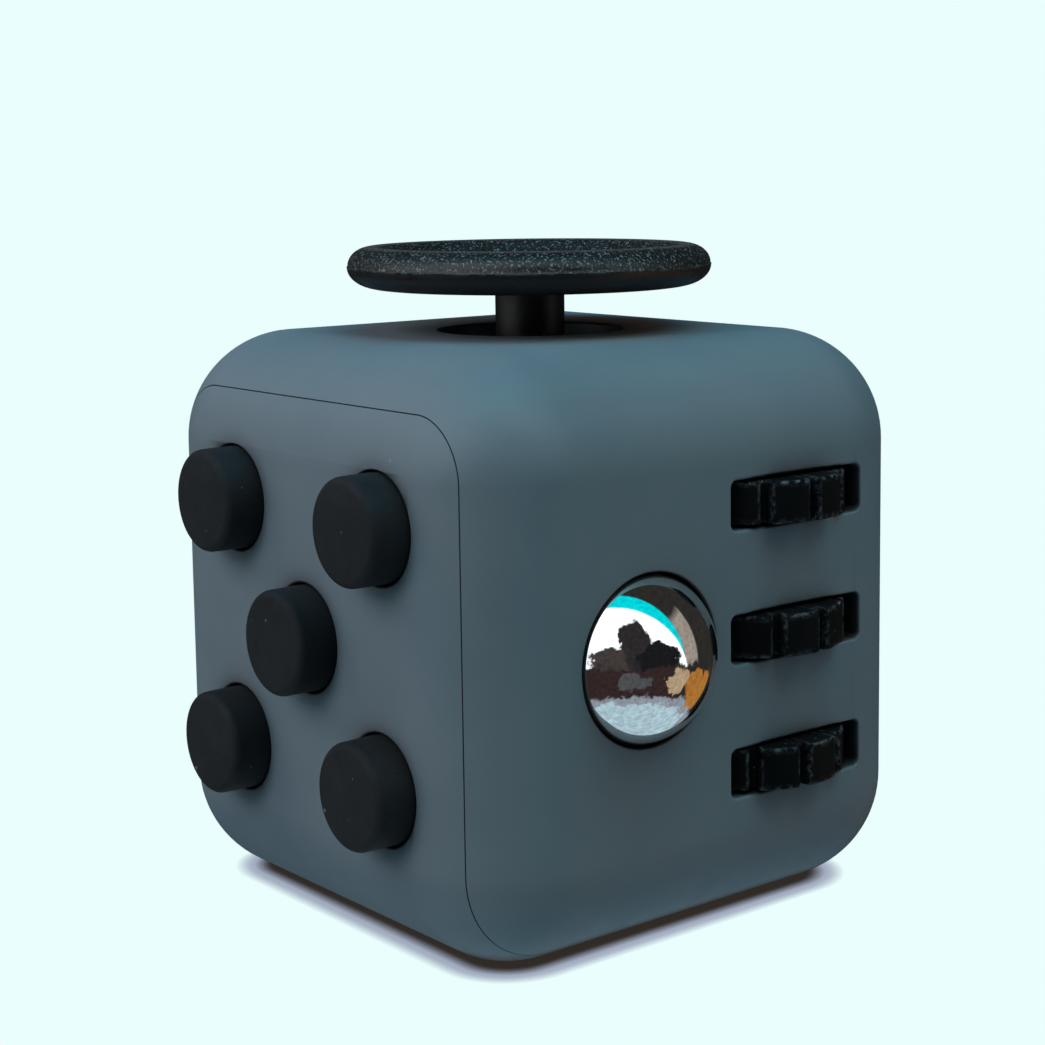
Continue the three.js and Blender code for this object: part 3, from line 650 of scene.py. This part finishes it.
# painted contact shadow: a cool fringe, then a dark brown line where ambient occlusion is low
shown = f.mix(f.ramp(painted_shadow_fringe_ao, 0.55, 1.0), (0.36, 0.41, 0.52), PALE)
shown = f.mix(f.ramp(painted_contact_shadow_ao, 0.40, 1.0), (0.030, 0.024, 0.020), shown)
ray = f.node("LightPath").outputs["Is Camera Ray"]
glow = f.node("Emission", {"Color": f.mix(ray, (0.38, 0.63, PILOT_R), shown), "Strength": 1.0})
f.t.links.new(glow.outputs[0], f.node("OutputMaterial").inputs["Surface"])
floor.data.materials.append(floor_material)
floor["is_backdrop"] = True

world = bpy.data.worlds.new("studio")
scene.world = world
world.use_nodes = True
world.node_tree.nodes.clear()
w = World(world.node_tree)
way = w.node("TexCoord").outputs["Generated"]
x, y, z = w.node("SeparateXYZ", {0: way}).outputs
wobble = w.node("TexNoise", {"Vector": way, "Scale": 3.2, "Detail": 5.0, "Roughness": 0.62})
n1, n2, _ = w.node("SeparateColor", {"Color": wobble.outputs["Color"]}).outputs
DEG = 180 / math.pi
az = w.calc("MULTIPLY", w.calc("ARCTAN2", x, w.calc("MULTIPLY", y, -1.0)), DEG)
el = w.calc("MULTIPLY", w.calc("ARCSINE", z), DEG)
az = w.calc("MULTIPLY_ADD", n1, 40.0, w.calc("SUBTRACT", az, 20.0))
el_rough = w.calc("MULTIPLY_ADD", n2, 34.0, w.calc("SUBTRACT", el, 17.0))
side = w.dot(way, (math.sin(math.radians(39)), -math.cos(math.radians(39)), 0))


BLOB_EDGE = 0.12


def blob(az0, el0, wide_deg, tall_deg):
    """A mask of one rough-edged patch of the reflected room, from its direction and half sizes in degrees."""
    u = w.calc("DIVIDE", w.calc("SUBTRACT", az, az0), wide_deg)
    v = w.calc("DIVIDE", w.calc("SUBTRACT", el_rough, el0), tall_deg)
    r = w.calc("ADD", w.calc("MULTIPLY", u, u), w.calc("MULTIPLY", v, v))
    return w.ramp(r, 1 + BLOB_EDGE, 1 - BLOB_EDGE)


above = w.ramp(el_rough, -9.0, -6.0)
room = w.over((0.030, 0.027, 0.024), w.both(w.ramp(side, -0.36, -0.32), w.ramp(side, 0.05, 0.02), above,
                                            w.ramp(el, 42, 34)), (0.36, 0.31, 0.26))
room = w.over(room, w.both(w.ramp(side, 0.02, 0.06), above), (0.0, 0.78, 0.84))
bright = w.ramp(w.calc("SUBTRACT", side, w.calc("MULTIPLY_ADD", z, 0.33, 0.02)), -0.01, 0.03)
room = w.over(room, w.both(bright, above), (1.5, 1.55, 1.6))
room = w.over(room, blob(63, 22, 21, 32), (0.030, 0.026, 0.028))
room = w.over(room, blob(90, 0, 26, 22), (0.012, 0.012, 0.014))
room = w.over(room, blob(30, -6, 26, 24), (0.060, 0.048, 0.046))
low = w.ramp(el_rough, -5.0, -8.0)
room = w.over(room, w.both(low, w.ramp(side, 0.0, 0.05)), (0.038, 0.022, 0.022))
room = w.over(room, blob(60, -22, 22, 10), (0.085, 0.085, 0.090))
room = w.over(room, blob(122, -24, 17, 14), (0.50, 0.36, 0.22))
room = w.over(room, blob(164, -27, 27, 15), (0.44, 0.18, 0.035))
room = w.over(room, w.ramp(el_rough, -40.0, -43.0), (0.30, 0.33, 0.38))
room = w.over(room, w.ramp(el_rough, -48.0, -50.0), (0.46, 0.62, 0.69))
mottle = w.node("TexNoise", {"Vector": way, "Scale": 13.0, "Detail": 6.0, "Roughness": 0.68}).outputs["Fac"]
glossy = w.node("Background", {"Color": room, "Strength": w.ramp(mottle, 0.32, 0.68, 0.70, 1.30)})
dark = w.node("Background", {"Color": (0, 0, 0, 1), "Strength": 0.0})
plain = w.node("Background", {"Color": (*PALE, 1), "Strength": 1.0})
rays = w.node("LightPath").outputs
lit = w.node("MixShader", {"Fac": rays["Is Glossy Ray"], 1: dark.outputs[0], 2: glossy.outputs[0]})
seen = w.node("MixShader", {"Fac": rays["Is Camera Ray"], 1: lit.outputs[0], 2: plain.outputs[0]})
w.t.links.new(seen.outputs[0], w.node("OutputWorld").inputs["Surface"])


LIGHT_DISTANCE, LIGHT_SIZE, LIGHT_AIM = 0.45, 0.25, (0, 0, 0.0165)


def softbox(name, azimuth, elevation, colour):
    """A square diffuse light that mirrors don't show; colour holds its power in watts."""
    a, e = math.radians(azimuth), math.radians(elevation)
    back = Vector((math.sin(a) * math.cos(e), -math.cos(a) * math.cos(e), math.sin(e)))
    light = bpy.data.lights.new(name, "AREA")
    light.shape, light.size, light.energy = "SQUARE", LIGHT_SIZE, max(colour)
    light.color = [c / max(colour) for c in colour]
    o = bpy.data.objects.new(name, light)
    scene.collection.objects.link(o)
    o.location = Vector(LIGHT_AIM) + back * LIGHT_DISTANCE
    o.rotation_euler = (-back).to_track_quat("-Z", "Y").to_euler()
    o.visible_glossy = False


for name, azimuth, elevation, colour in (("front_softbox", 0, 35, (1.60, 1.42, 1.39)),
                                         ("left_softbox", -60, 35, (1.12, 0.88, 0.85)),
                                         ("top_softbox", 0, 88, (0.00, 0.75, 1.19)),
                                         ("warm_side_softbox", 90, 62, (0.97, 0.52, 0.18)),
                                         ("cool_side_softbox", 120, 62, (0.00, 0.94, 1.24)),
                                         ("back_softbox", 150, 35, (0.66, 0.30, 0.20))):
    softbox(name, azimuth, elevation, colour)

# ---- camera ---------------------------------------------------------------------------------------------
# angles in degrees and distance in millimetres from the body's middle; the lens looks a little off axis
AZ, EL, DIST, ROLL, YAW, PITCH = 51.496, 11.973, 127.45, -0.878, 1.330, 4.816
FOCAL_PX, FRAME_PX, SENSOR_MM = 2106.6, 1045.0, 36.0
a, e = math.radians(AZ), math.radians(EL)
back = Vector((math.sin(a) * math.cos(e), -math.cos(a) * math.cos(e), math.sin(e)))
forward = -back
right = forward.cross(Vector((0, 0, 1))).normalized()
up = right.cross(forward)
y, p, r = math.radians(YAW), math.radians(PITCH), math.radians(ROLL)
f2, r2 = forward * math.cos(y) + right * math.sin(y), right * math.cos(y) - forward * math.sin(y)
f3, u3 = f2 * math.cos(p) + up * math.sin(p), up * math.cos(p) - f2 * math.sin(p)
cam_x, cam_y = r2 * math.cos(r) + u3 * math.sin(r), u3 * math.cos(r) - r2 * math.sin(r)
camera = bpy.data.objects.new("camera", bpy.data.cameras.new("camera"))
scene.collection.objects.link(camera)
m = Matrix((cam_x, cam_y, -f3)).transposed().to_4x4()
m.translation = Vector((0, 0, H)) * MM + back * DIST * MM
camera.matrix_world = m
camera.data.sensor_width = SENSOR_MM
camera.data.lens = FOCAL_PX / FRAME_PX * SENSOR_MM
camera.data.shift_x, camera.data.shift_y = -0.0552, -0.0951
camera.data.clip_start, camera.data.clip_end = 0.002, 20
scene.camera = camera
scene.view_settings.view_transform = "Standard"
scene.view_settings.look = "None"

low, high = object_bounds()
